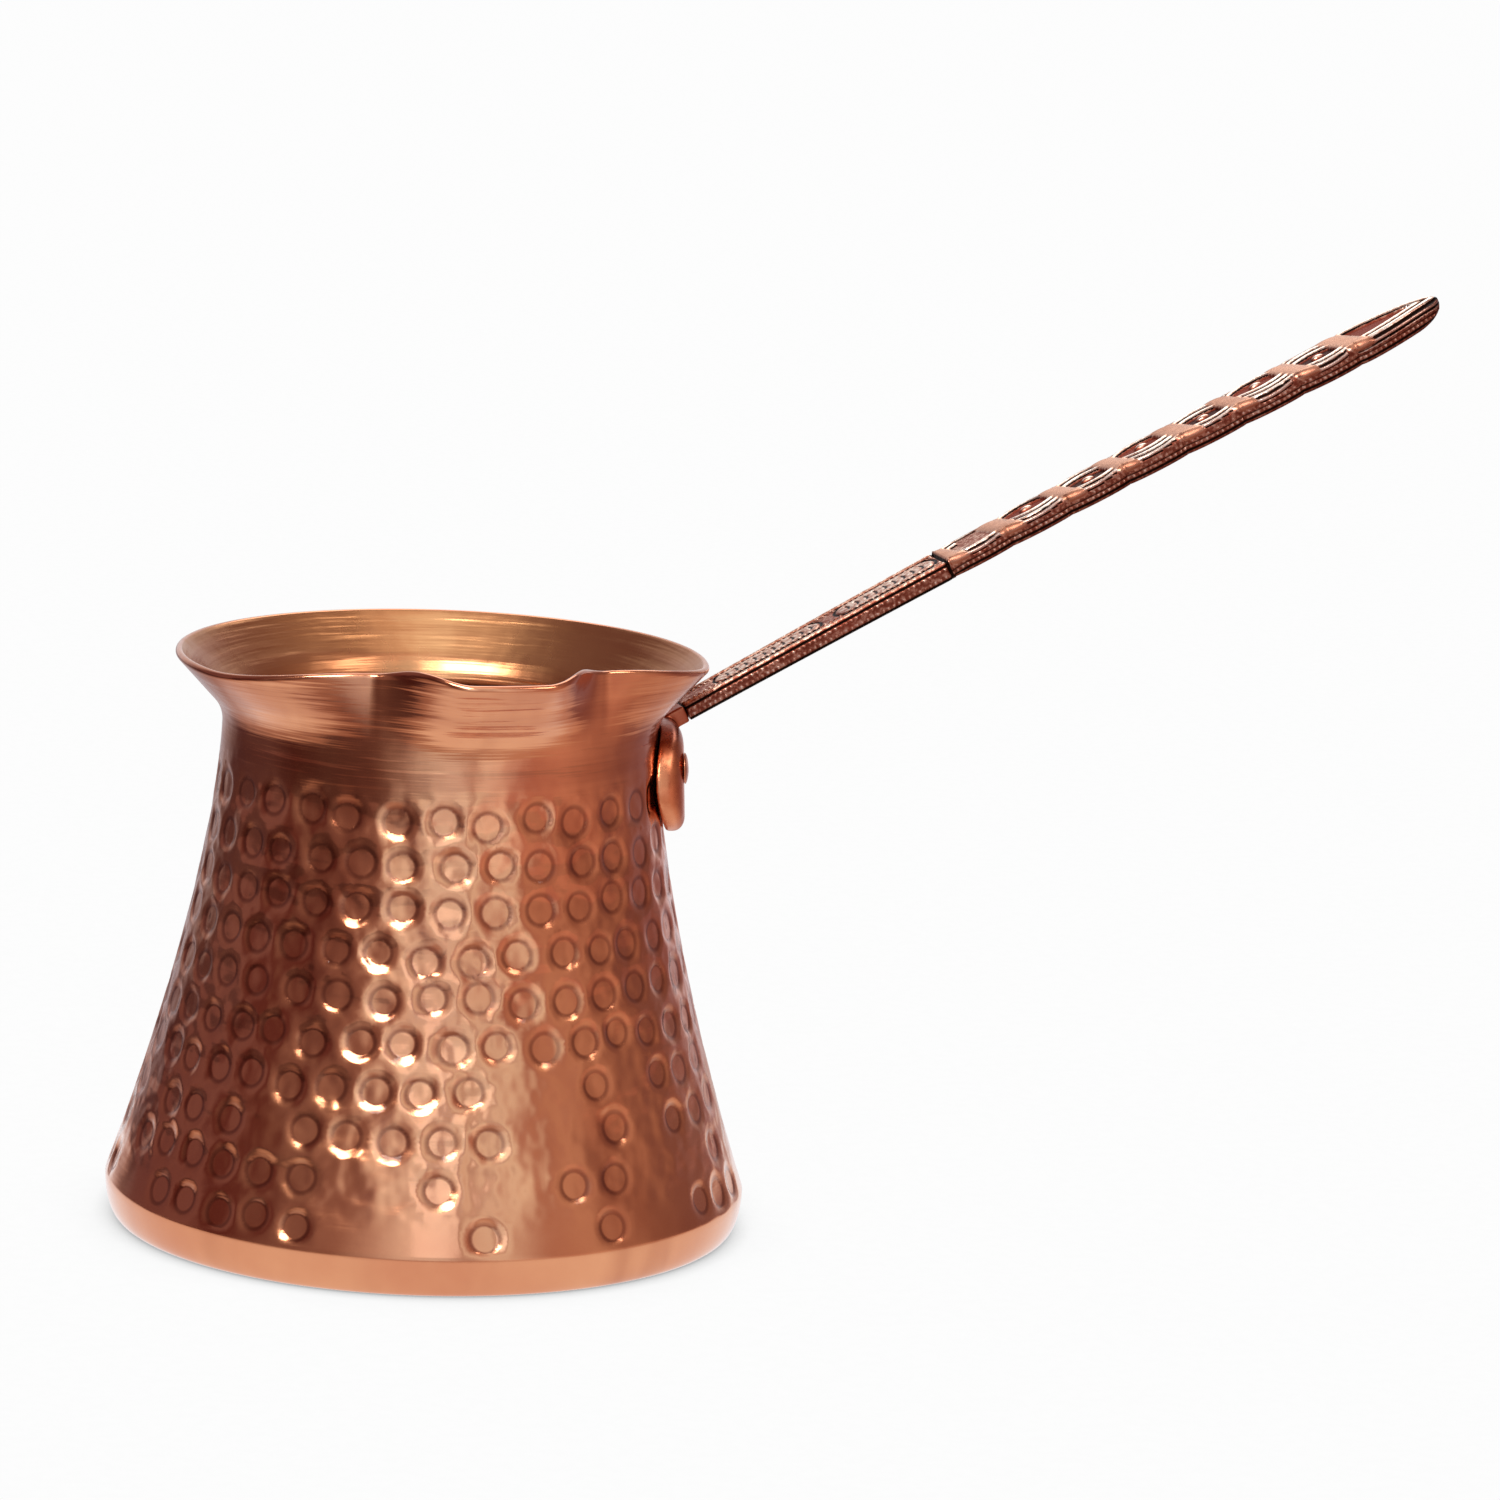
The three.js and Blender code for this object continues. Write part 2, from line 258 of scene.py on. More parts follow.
def flare_length(degrees):
    return FLARE_LENGTH + STRETCH * (1 - smoothstep(np.abs(degrees), STRETCH_FULL, STRETCH_GONE))


def flare_at(fraction, degrees):
    """Radius, height and lean of the sheet's outside at a fraction of the way up the flare."""
    lean = np.maximum(flare_lean(degrees), LEAST_LEAN)
    along = fraction * flare_length(degrees)
    angle = lean * np.minimum(along / FLARE_BEND, 1)
    straight = np.maximum(along - FLARE_BEND, 0)
    radius = NECK_RADIUS + FLARE_BEND / lean * (1 - np.cos(angle)) + straight * np.sin(lean)
    height = NECK_HEIGHT + FLARE_BEND / lean * np.sin(angle) + straight * np.cos(lean)
    return radius, height, angle


# ---- Pot: the pits ----
def in_patch(degrees, row):
    turned = (degrees + 180) % 360 - 180
    return any(low <= turned <= high and row < stop for low, high, stop in PATCHES)


def struck_span():
    """The arc lengths up the wall between which the shell is meshed to suit the pits."""
    bottom, top = STRUCK_HEIGHTS
    return length_at(bottom + STRUCK_MARGIN), length_at(top)


def strike_pits(draw):
    """Every pit as azimuth (radians), arc length up the wall, radius, depth and tilt."""
    pits = []
    for row in range(PIT_ROWS):
        middle = length_at(PIT_TOP_ROW - row * PIT_ROW_PITCH)
        radius = wall_at(middle)[0]
        count = round(math.tau * radius / PIT_PITCH)
        start = draw.uniform(0, math.tau)
        for k in range(count):
            azimuth = start + math.tau * k / count + draw.normal(0, PIT_SPREAD[0]) / radius
            length = middle + draw.normal(0, PIT_SPREAD[1])
            size = PIT_RADIUS * draw.uniform(*PIT_SIZES)
            depth = PIT_DEPTH * draw.uniform(*PIT_DEPTHS)
            tilt = draw.normal(0, PIT_TILT, 2)
            if row >= FULL_ROWS and not in_patch(math.degrees(azimuth), row):
                continue
            if row > FULL_ROWS and draw.uniform() < PITS_MISSED:
                continue
            pits.append((azimuth % math.tau, length, size, depth, *tilt))
    return np.array(pits)


def pit_fields(pits, azimuth, length, radius):
    """How deep each point lies, and how far it is from a pit's middle in pit radii."""
    sunk = np.zeros(len(azimuth))
    nearest = np.full(len(azimuth), 9.0)
    for turn, middle, size, depth, tilt_x, tilt_y in pits:
        across = (azimuth - turn + math.pi) % math.tau - math.pi
        x = across * radius / size
        y = (length - middle) / size
        away = np.hypot(x, y)
        close = away < PIT_REACH
        x, y, away = x[close], y[close], away[close]
        floor = 1 - PIT_DISH * (away / PIT_FLOOR) ** 2
        up_wall = np.clip((PIT_WALL - away) / (PIT_WALL - PIT_CORNER), 0, 1)
        wall = (1 - PIT_DISH) * up_wall**1.4
        bowl = depth * np.where(away < PIT_FLOOR, np.maximum(floor, wall), wall)
        lean = (tilt_x * x + tilt_y * y) * size * (1 - smoothstep(away, 0.55, 0.95))
        lip = -PIT_LIP * np.exp(-(((away - PIT_WALL) / 0.1) ** 2))
        sunk[close] = np.maximum(sunk[close], 0) + bowl + lean + lip
        nearest[close] = np.minimum(nearest[close], away)
    return sunk, nearest


def pit_points(pits, draw):
    """Points in the unrolled wall: rings round each pit and a loose fill between them."""
    low, high = struck_span()
    found = []
    for turn, middle, size, *_ in pits:
        radius = wall_at(middle)[0]
        found.append((turn, middle))
        for k, (share, count) in enumerate(PIT_RINGS):
            spin = math.tau * (np.arange(count) + 0.5 * k) / count
            across = share * size * np.cos(spin) / radius
            found.extend(zip(turn + across, middle + share * size * np.sin(spin)))
    found = np.array(found)
    fill = []
    rows = np.arange(low + FILL_STEP, high - FILL_STEP / 2, FILL_STEP)
    for row, length in enumerate(rows):
        radius = wall_at(length)[0]
        count = round(math.tau * radius / FILL_STEP)
        spin = math.tau * (np.arange(count) + 0.5 * (row % 2)) / count
        fill.append(np.stack([spin, np.full(count, length)], 1))
    fill = np.concatenate(fill)
    fill += draw.normal(0, FILL_SCATTER, fill.shape) / np.array([FILL_RADIUS, 1.0])
    points = np.concatenate([found, fill])
    radius = wall_at(points[:, 1])[0]
    away = pit_fields(pits, points[:, 0], points[:, 1], radius)[1]
    keep = (np.arange(len(points)) < len(found)) | (away > FILL_CLEARANCE)
    margin = 0.45  # kept clear of the shell's own rings below and above
    keep &= (points[:, 1] > low + margin) & (points[:, 1] < high - margin)
    points = points[keep]
    points[:, 0] %= math.tau
    return thin_out(points)


def thin_out(points, spacing=0.2):
    """Drops a point that has an earlier one closer than the spacing."""
    cells = {}
    kept = []
    scale = np.array([wall_at(length_at(UNROLLED_AT))[0], 1.0])
    for index, place in enumerate(points * scale):
        cell = tuple((place // spacing).astype(int))
        around = (cells.get((cell[0] + i, cell[1] + j)) for i in (-1, 0, 1) for j in (-1, 0, 1))
        if any(other is not None and np.hypot(*(place - other)) < spacing for other in around):
            continue
        cells[cell] = place
        kept.append(index)
    return points[kept]


def triangulate_wall(points):
    """Triangles over the unrolled wall, joined to itself where it wraps round."""
    scale = wall_at(length_at(UNROLLED_AT))[0]
    overlap = 0.35
    index = np.arange(len(points))
    before = points[:, 0] > math.tau - overlap
    after = points[:, 0] < overlap
    turn = [math.tau, 0]
    flat = np.concatenate([points, points[before] - turn, points[after] + turn])
    index = np.concatenate([index, index[before], index[after]])
    places = [Vector((a * scale, b)) for a, b in flat]
    _, _, triangles, *_ = geometry.delaunay_2d_cdt(places, [], [], 0, 1e-7, False)
    faces = []
    for triangle in triangles:
        middle = sum(flat[corner][0] for corner in triangle) / 3
        if 0 <= middle < math.tau:
            faces.append(tuple(int(index[corner]) for corner in triangle))
    return faces


# ---- Pot: the shell ----
def sheet_point(radius, height, azimuth):
    return np.stack([radius * np.cos(azimuth), radius * np.sin(azimuth), height], -1)


def shell_rings(pits, azimuth):
    """The shell's rings from the middle of the underside, out, up, over and in, with the
    numbers of the ring under the struck wall and of the first ring inside."""
    from_spout = (np.degrees(azimuth) - SPOUT_AZIMUTH + 180) % 360 - 180
    low, high = struck_span()
    rings = []

    def ring(radius, height):
        rings.append(sheet_point(radius + 0 * azimuth, height + 0 * azimuth, azimuth))

    for radius in (6, 20, 34, 44, FOOT_FLAT_RADIUS - 0.4):
        ring(radius, 0.0)
    for share in np.linspace(0, 1, 11):
        spin = share * math.pi / 2
        radius = FOOT_FLAT_RADIUS + (FOOT_RADIUS - FOOT_FLAT_RADIUS) * math.sin(spin)
        ring(radius, FOOT_HEIGHT * (1 - math.cos(spin)))
    ring(*wall_at(low)[:2])
    bottom_ring = len(rings) - 1
    ring(*wall_at(high)[:2])
    for length in np.linspace(high, WALL[0][-1], 6)[1:]:
        ring(*wall_at(length)[:2])
    for fraction in np.linspace(0, 1, 27)[1:]:
        radius, height, _ = flare_at(fraction, from_spout)
        ring(radius, height)
    lean = np.maximum(flare_lean(from_spout), LEAST_LEAN)
    for spin in np.linspace(0, math.pi, 9)[1:-1]:
        inward = SHEET / 2 * (1 - math.cos(spin))
        out = SHEET / 2 * math.sin(spin)
        ring(
            radius - inward * np.cos(lean) + out * np.sin(lean),
            height + inward * np.sin(lean) + out * np.cos(lean),
        )
    first_inside = len(rings)
    for fraction in np.linspace(1, 0, 22)[:-1]:
        radius, height, lean = flare_at(fraction, from_spout)
        ring(radius - SHEET * np.cos(lean), height + SHEET * np.sin(lean))
    for length in np.linspace(WALL[0][-1], 0, 58):
        radius, height, lean = wall_at(length)
        level = np.full(COLUMNS, length)
        away = pit_fields(pits, azimuth, level, np.full(COLUMNS, radius))[1]
        inward = SHEET + INSIDE_BUMP * (1 - smoothstep(away, 0.2, 1.25))
        ring(radius - inward * math.cos(lean), height + inward * math.sin(lean))
    for share in np.linspace(0, 1, 7)[1:]:
        spin = share * math.pi / 2
        reach = FOOT_RADIUS - SHEET - INSIDE_CORNER * (1 - math.cos(spin))
        ring(reach, FOOT_HEIGHT - (FOOT_HEIGHT - SHEET) * math.sin(spin))
    for radius in (40, 30, 20, 10, 4):
        ring(radius, SHEET)
    return rings, bottom_ring, first_inside


def pot_body():
    """The one-piece copper body: a closed shell whose struck wall is meshed round its pits."""
    draw = np.random.default_rng(SEED)
    pits = strike_pits(draw)
    azimuth = math.tau * np.arange(COLUMNS) / COLUMNS
    rings, bottom_ring, first_inside = shell_rings(pits, azimuth)
    faces = closed_tube(len(rings), COLUMNS, bottom_ring)
    first_middle = len(rings) * COLUMNS
    points = np.concatenate([*rings, [[0, 0, 0], [0, 0, SHEET]]])

    # The struck part of the wall, between its bottom and top rings.
    edges = [np.stack([azimuth, np.full(COLUMNS, length)], 1) for length in struck_span()]
    flat = np.concatenate([*edges, pit_points(pits, draw)])
    radius, height, lean = wall_at(flat[:, 1])
    sunk, nearest = pit_fields(pits, flat[:, 0], flat[:, 1], radius)
    sunk[: 2 * COLUMNS] = 0
    placed = sheet_point(radius - sunk * np.cos(lean), height + sunk * np.sin(lean), flat[:, 0])
    shift = len(points)
    points = np.concatenate([points, placed[2 * COLUMNS :]])

    def shell_index(corner):
        if corner >= 2 * COLUMNS:
            return corner - 2 * COLUMNS + shift
        return bottom_ring * COLUMNS + corner

    faces += [tuple(map(shell_index, face)) for face in triangulate_wall(flat)]
    pit_values = np.full(len(points), 2.0)
    pit_values[shift:] = np.minimum(nearest[2 * COLUMNS :], 2.0)
    inside = np.zeros(len(points))
    inside[first_inside * COLUMNS : first_middle] = 1.0
    inside[first_middle + 1] = 1.0
    piece = make_object("hammered_pot", points, faces, {"pit": pit_values, "inside": inside})
    drill_rivet_holes(piece)
    return piece


def drill_rivet_holes(piece):
    """The three rivet holes through the sheet, cut as real round holes."""
    for name in RIVETS:
        bore = bpy.data.meshes.new("bore")
        shape = bmesh.new()
        bmesh.ops.create_cone(
            shape, cap_ends=True, segments=24, depth=8 * MM,
            radius1=(RIVET_SHANK + GAP) * MM, radius2=(RIVET_SHANK + GAP) * MM,
        )
        shape.to_mesh(bore)
        shape.free()
        cutter = link_object("bore", bore)
        cutter.matrix_world = rivet_place(name)
        cut = piece.modifiers.new("cut", "BOOLEAN")
        cut.operation = "DIFFERENCE"
        cut.solver = "EXACT"
        cut.object = cutter
        apply_modifiers(piece)
        bpy.data.objects.remove(cutter)


def apply_modifiers(piece):
    graph = bpy.context.evaluated_depsgraph_get()
    finished = bpy.data.meshes.new_from_object(piece.evaluated_get(graph))
    piece.modifiers.clear()
    piece.data = finished
    finished.shade_smooth()


# ---- Rivets ----
def rivet_place(name):
    """The rivet's frame: its seat on the wall, with +Z leaving square to the sheet."""
    degrees, height = RIVETS[name]
    radius, height, lean = wall_at(length_at(height))
    turn = math.radians(degrees)
    seat = Vector((radius * math.cos(turn), radius * math.sin(turn), height)) * MM
    return facing(seat, direction(turn, -lean))


def plate_outer_radius(height):
    share = (height - PLATE_BOTTOM) / (PLATE_TOP - PLATE_BOTTOM)
    return PLATE_OUTER_LOW + (PLATE_OUTER_HIGH - PLATE_OUTER_LOW) * share


def rivet(name, draw):
    """A copper rivet: domed head outside, shank, and a flatter peened head inside."""
    height = RIVETS[name][1]
    outer = plate_outer_radius(height) - wall_at(length_at(height))[0] + SEAT
    inner = -SHEET - SEAT
    crown = outer + RIVET_RISE
    segments = 40
    outline = []
    for spin in np.linspace(0.08, 1, 9) * math.pi / 2:
        outline.append((RIVET_HEAD * math.sin(spin), inner - RIVET_PEEN * math.cos(spin)))
    brim = RIVET_HEAD - RIVET_BRIM
    outline += [(brim, inner), (RIVET_SHANK, inner), (RIVET_SHANK, outer), (brim, outer)]
    for spin in np.linspace(1, 0.08, 10) * math.pi / 2:
        outline.append((RIVET_HEAD * math.sin(spin), crown + RIVET_DOME * math.cos(spin)))
    blows = draw.uniform(0, math.tau, 6)
    points = []
    for radius, level in outline:
        for j in range(segments):
            spin = math.tau * j / segments
            dent = 0.0
            if radius > RIVET_SHANK + 0.05 or abs(level) > abs(outer) + 0.2:
                dent = RIVET_DENT * sum(max(0, math.cos(spin - blow)) ** 6 for blow in blows)
            reach = radius * (1 - dent * radius / RIVET_HEAD)
            flat = 1 - 0.5 * dent
            points.append((reach * math.cos(spin), reach * math.sin(spin), level * flat))
    points += [(0, 0, inner - RIVET_PEEN), (0, 0, crown + RIVET_DOME)]
    piece = make_object(name + "_hammered", points, closed_tube(len(outline), segments))
    piece.data.transform(rivet_place(name))
    return piece


# ---- Handle ----
def plain_half_width(x):
    return (BAR_WIDTH[0] + (BAR_WIDTH[1] - BAR_WIDTH[0]) * x / HANDLE_LENGTH) / 2


def half_width(x):
    plain = plain_half_width(x)
    if x < CELLS_START:
        return plain
    if x < LEAF_START:
        bulge = abs(math.sin(math.pi * (x - CELLS_START) / CELL_PITCH))
        return plain * (1 - NOTCH_DEPTH + NOTCH_DEPTH * bulge**0.55)
    leaf = (x - LEAF_START) / (HANDLE_LENGTH - LEAF_START)
    swell = math.sin(math.pi * math.sqrt(leaf))
    return plain * ((1 - NOTCH_DEPTH) * math.sqrt(max(1 - leaf, 0)) + NOTCH_DEPTH * swell)


def thickness(x):
    return BAR_THICKNESS[0] + (BAR_THICKNESS[1] - BAR_THICKNESS[0]) * x / HANDLE_LENGTH


def top_corner(x, half):
    """The radius of the bar's top edges: crisp on the plain end, rounder on the worked part."""
    return min(0.35 + 0.55 * float(smoothstep(x, CELLS_START - 1, CELLS_START + 3)), half * 0.6)


def bar_section(x):
    """Round the bar at x, as rows of place (y, z), outward normal (y, z) and the distance
    from the middle of the top, over the edge and down the side. The bottom comes first."""
    half = max(half_width(x), LEAST_HALF)
    to_tip = max(1 - (HANDLE_LENGTH - x) / TIP_ROUND, 0)
    thinned = 1 - math.sqrt(max(1 - to_tip**2, 0))
    under = TIP_UNDERSIDE * thinned
    high = thickness(x) - TIP_TOP * thinned
    top = min(top_corner(x, half), (high - under) * 0.4)
    low = min(LOW_CORNER, half * 0.5, (high - under) * 0.3)
    flat = half - low
    roof = TONGUE_HEIGHT + GAP if x < TONGUE_LENGTH + GAP else under
    wall = min(TONGUE_WIDTH / 2 + GAP, flat * 0.7)
    rows = []
    for y, z in (
        (flat * 0.97, under), ((wall + flat) / 2, under), (wall, under), (wall * 0.86, roof),
        (wall * 0.4, roof), (-wall * 0.4, roof), (-wall * 0.86, roof), (-wall, under),
        (-(wall + flat) / 2, under), (-flat * 0.97, under),
    ):
        rows.append((y, z, 0.0, -1.0, math.inf))
    edge = half - top
    corner = top * math.pi / 2
    face = high - under - top - low
    strip = []
    for spin in np.linspace(0.12, 0.88, 4) * math.pi / 2:
        y = flat + low * math.sin(spin)
        z = under + low - low * math.cos(spin)
        strip.append((y, z, math.sin(spin), -math.cos(spin), edge + corner + face + 0.3))
    for share in np.linspace(0, 1, 15):
        z = under + low + share * face
        strip.append((half, z, 1.0, 0.0, edge + corner + (1 - share) * face))
    for spin in np.linspace(0.14, 0.86, 6) * math.pi / 2:
        y = edge + top * math.cos(spin)
        z = high - top + top * math.sin(spin)
        strip.append((y, z, math.cos(spin), math.sin(spin), edge + corner - top * spin))
    rows += [(-y, z, -ny, nz, -g) for y, z, ny, nz, g in strip]
    rows += [(y, high, 0.0, 1.0, y) for y in np.linspace(-edge, edge, 56)]
    rows += strip[::-1]
    return rows


def hump(value, middle, width):
    """A smooth ridge one high, centred on middle."""
    return np.exp(-(((value - middle) / width) ** 2))


def bead_row(x, g, line, size):
    """A row of small beads along the bar, on the line g."""
    step = (x / BEAD_PITCH) % 1 - 0.5
    away = np.hypot(step * BEAD_PITCH, g - line) / size
    return np.sqrt(np.clip(1 - away**2, 0, 1)) * size


def plain_relief(x, g, half, top, face):
    """The plain end: rims and grooves along the edges, long panels with rounded ends and
    beaded borders on the top, and a beaded line along both edges of each side face.
    Returns the relief and how much painted shade darkens each point in the grooves and hollows."""
    edge = np.abs(g)
    rim_at = half - RIM_INSET
    groove_at = rim_at - RIM_TO_GROOVE
    rim = 0.18 * hump(edge, rim_at, 0.24)
    relief = rim - 0.28 * hump(edge, groove_at, 0.2)
    # Painted shade along the groove by each edge, round the panels and in the scored lines.
    hollow_shade = hump(edge, groove_at, 0.24)
    for start, end in PANELS:
        reach = half - 1.35
        past = np.maximum(np.maximum(start + reach - x, x - (end - reach)), 0)
        away = np.hypot(past, g) / reach
        relief += 0.12 * (1 - smoothstep(away, 0.72, 0.9)) - 0.14 * hump(away, 1.0, 0.12)
        hollow_shade = np.maximum(hollow_shade, 0.9 * hump(away, 1.0, 0.13))
        score = ((x - start) / SCORE_PITCH % 1 - 0.5) * SCORE_PITCH + 0.25 * edge
        scored = hump(score, 0, 0.24) * (1 - smoothstep(away, 0.35, 0.5))
        relief -= 0.14 * scored
        hollow_shade = np.maximum(hollow_shade, 0.85 * scored)
    relief += 0.8 * bead_row(x, edge, rim_at - RIM_TO_BEADS, 0.26)
    on_top = edge < half - top
    relief = np.where(on_top, relief, rim)
    hollow_shade = np.where(on_top, hollow_shade, 0)
    depth = edge - (half - top)
    below = depth > 0.42
    side = -0.26 * hump(depth, 0.72, 0.16)
    side += 0.8 * bead_row(x, depth, 1.2, BEAD)
    side += 0.8 * bead_row(x + 0.4, depth, face - 0.15, BEAD)
    side_hollow_shade = np.maximum(hump(depth, 0.72, 0.22), 0.9 * hump(depth, face + 0.35, 0.25))
    return np.where(below, side, relief), np.where(below, side_hollow_shade, hollow_shade)


def leaf_inset(x, g, half):
    """How far each point lies inside the leaf's outline, less than nothing on the sides."""
    length = HANDLE_LENGTH - LEAF_START + 2
    places = HANDLE_LENGTH - length * np.linspace(0, 1, 200) ** 2
    halves = np.array([half_width(place) for place in places])
    around = np.abs(g)
    nearest = np.hypot(x[..., None] - places, around[..., None] - halves).min(axis=-1)
    return np.where(around > half, SIDE_CROWDING * (half - around), nearest)


def ridge_wave(turns):
    """Rounded ridges, one for each turn."""
    return np.abs(np.sin(math.pi * turns)) ** 0.8


def cell_bundle(cell, along, unrolled, eye, half):
    """The ridges round a cell's eye: how many each point is from the eye, whether it lies on
    one, and their shape. The first cell has only the outer two."""
    away = np.abs(unrolled - eye)
    to_edge = np.where(unrolled > eye, half - eye, half + eye)
    ridges = np.round((to_edge + SIDE_CROWDING - EYE_BOW) / RIDGE_PITCH)
    turn = (away - EYE_BOW * (1 - along**2)) / RIDGE_PITCH
    in_bundle = (turn > 0) & (turn < ridges)
    if cell == 0:
        in_bundle &= turn > ridges - 2
    return turn, in_bundle, ridge_wave(turn)


def leaf_bundle(x, g, half):
    """The same for the tip, where the ridges follow the edge of the leaf."""
    inset = np.full_like(x, 99.0)
    inside = x >= LEAF_START
    inset[inside] = leaf_inset(x[inside], g[inside], half[inside])
    near, far = LEAF_RIDGES
    share = 0.5 + 0.5 * np.tanh(g / 2)
    turn = near + (far - near) * share - inset / LEAF_PITCH
    return turn, (turn > 0) & (inset > -1.5 * LEAF_PITCH), ridge_wave(inset / LEAF_PITCH)


def knuckles(x, unrolled, half):
    """The smooth slanting knuckles between the cells, as domes one high."""
    knuckle = np.zeros_like(x)
    for k in range(CELL_COUNT + 1):
        middle = CELLS_START + k * CELL_PITCH + KNUCKLE_SHIFT * (-1) ** k
        away = (x - middle + KNUCKLE_SLANT * unrolled) / (KNUCKLE + 0.35 * (k % 3 == 1))
        reach = half + 1.6 * SIDE_CROWDING
        dome = np.sqrt(np.clip(1 - away**2, 0, 1))
        knuckle = np.maximum(knuckle, dome * (1 - smoothstep(np.abs(unrolled), reach - 2, reach)))
    return knuckle


def worked_relief(x, g, half, top, face):
    """The worked part, like a flat plait: bundles of ridges that bow out to both edges round
    an eye in each cell, with a smooth knuckle where they cross between the cells.
    Returns the relief, the painted shade in the grooves, and how much of each point is knuckle."""
    edge = half - top
    around = np.abs(g)
    unrolled = np.sign(g) * np.where(around > edge, edge + SIDE_CROWDING * (around - edge), around)
    depth = around - edge
    relief = 0.8 * bead_row(x, depth, face - 0.15, BEAD)
    relief += 0.7 * bead_row(x + 0.4, depth, face - 0.95, SMALL_BEAD)
    # Painted shade in the grooves of the side faces, and below in the grooves between the ridges.
    hollow_shade = 0.85 * hump(depth, face + 0.3, 0.25) + 0.6 * hump(depth, face - 0.55, 0.16)
    for cell in range(CELL_COUNT + 1):
        last = cell == CELL_COUNT
        start = CELLS_START + cell * CELL_PITCH
        end = HANDLE_LENGTH + 2.0 if last else start + CELL_PITCH
        inside = (x >= start) & (x < end)
        along = (x - 0.5 * (start + end)) / (0.5 * (end - start))
        eye = half * EYE_OFFSETS[cell % 2]
        if last:
            turn, in_bundle, wave = leaf_bundle(x, g, half)
        else:
            turn, in_bundle, wave = cell_bundle(cell, along, unrolled, eye, half)
        worked = np.where(in_bundle, RIDGE_HEIGHT * wave - GROOVE_DEPTH, relief)
        dark = np.where(in_bundle, 1 - smoothstep(wave, 0.42, 0.85), hollow_shade)
        recess = smoothstep(-turn, 0.0, 0.25) if cell else 0 * turn
        boss = np.sqrt(np.clip(1 - ((along / 0.22) ** 2 + ((unrolled - eye) / 0.7) ** 2), 0, 1))
        boss *= not last
        worked = worked * (1 - recess) + recess * (0.6 * boss - 0.3)
        # Painted shade in the hollow round the eye's boss.
        eye_shade = EYE_SHADES[cell % 2] * (1 - smoothstep(boss, 0.1, 0.5))
        dark = dark * (1 - recess) + recess * eye_shade
        relief = np.where(inside, worked, relief)
        hollow_shade = np.where(inside, dark, hollow_shade)
    knuckle = knuckles(x, unrolled, half)
    relief = np.where(knuckle > 0, np.maximum(relief, 0.42 * knuckle - 0.04), relief)
    return relief, hollow_shade * (1 - smoothstep(knuckle, 0.05, 0.35)), knuckle


def handle_relief(x, g, half, top, face):
    """Relief of the top and sides, in millimetres out along the surface, the painted shade in the
    grooves, the smooth knuckles and how far each point has turned on to a side face."""
    shown = np.isfinite(g)
    g = np.where(shown, g, 99.0)
    share = smoothstep(x, CELLS_START - 0.5, CELLS_START - 0.1)
    plain, plain_hollow_shade = plain_relief(x, g, half, top, face)
    worked, worked_hollow_shade, knuckle = worked_relief(x, g, half, top, face)
    relief = plain * (1 - share) + worked * share
    hollow_shade = plain_hollow_shade * (1 - share) + worked_hollow_shade * share
    relief -= 0.32 * hump(x, CELLS_START - 0.5, 0.24)
    hollow_shade = np.maximum(hollow_shade, hump(x, CELLS_START - 0.5, 0.28))
    relief *= smoothstep(HANDLE_LENGTH - x, -0.3, 1.2)
    side = smoothstep(np.abs(g), half - top, half)
    return relief * shown, np.clip(hollow_shade, 0, 1) * shown, knuckle * share * shown, side


def to_frame(x, y, z):
    """A point of the bar's own frame (x along, y across, z square to it) in the CAD frame."""
    level = z - HANDLE_DROOP * x * x
    run, rise = math.cos(HANDLE_SLOPE), math.sin(HANDLE_SLOPE)
    out = HANDLE_ROOT[0] + x * run - level * rise
    up = HANDLE_ROOT[1] + x * rise + level * run
    return np.stack([out, y, up], -1)


def handle():
    """The whole cast bar, with its ornament raised from the top and sides."""
    places = list(np.arange(GAP / 2, HANDLE_LENGTH - 2, 0.205))
    places += list(HANDLE_LENGTH - 2 * (1 - np.sin(np.linspace(0, 1, 14) * math.pi / 2)))
    rows = np.array([bar_section(x) for x in places])
    count = rows.shape[1]
    x = np.repeat(np.array(places)[:, None], count, axis=1)
    y, z, normal_y, normal_z, g = np.moveaxis(rows, 2, 0)
    halves = [max(half_width(place), LEAST_HALF) for place in places]
    half = np.array(halves)[:, None] + 0 * x
    top = np.array(list(map(top_corner, places, halves)))[:, None] + 0 * x
    face = thickness(x) - LOW_CORNER
    relief, hollow_shade, knuckle, side = handle_relief(x, g, half, top, face)
    points = to_frame(x, y + relief * normal_y, z + relief * normal_z).reshape(-1, 3)
    root = to_frame(np.array(places[0]), 0, 0.5 * (TONGUE_HEIGHT + GAP + BAR_THICKNESS[0]))
    tip = points[-count:].mean(axis=0)
    points = np.concatenate([points, [root, tip]])
    faces = [face[::-1] for face in closed_tube(len(places), count)]
    values = {"relief": relief, "hollow_shade": hollow_shade, "knuckle": knuckle}
    values = {title: np.append(numbers, [0, 0]) for title, numbers in values.items()}
    values["side"] = np.append(side, [1, 1])
    return make_object("ornamented_handle", points, faces, values)


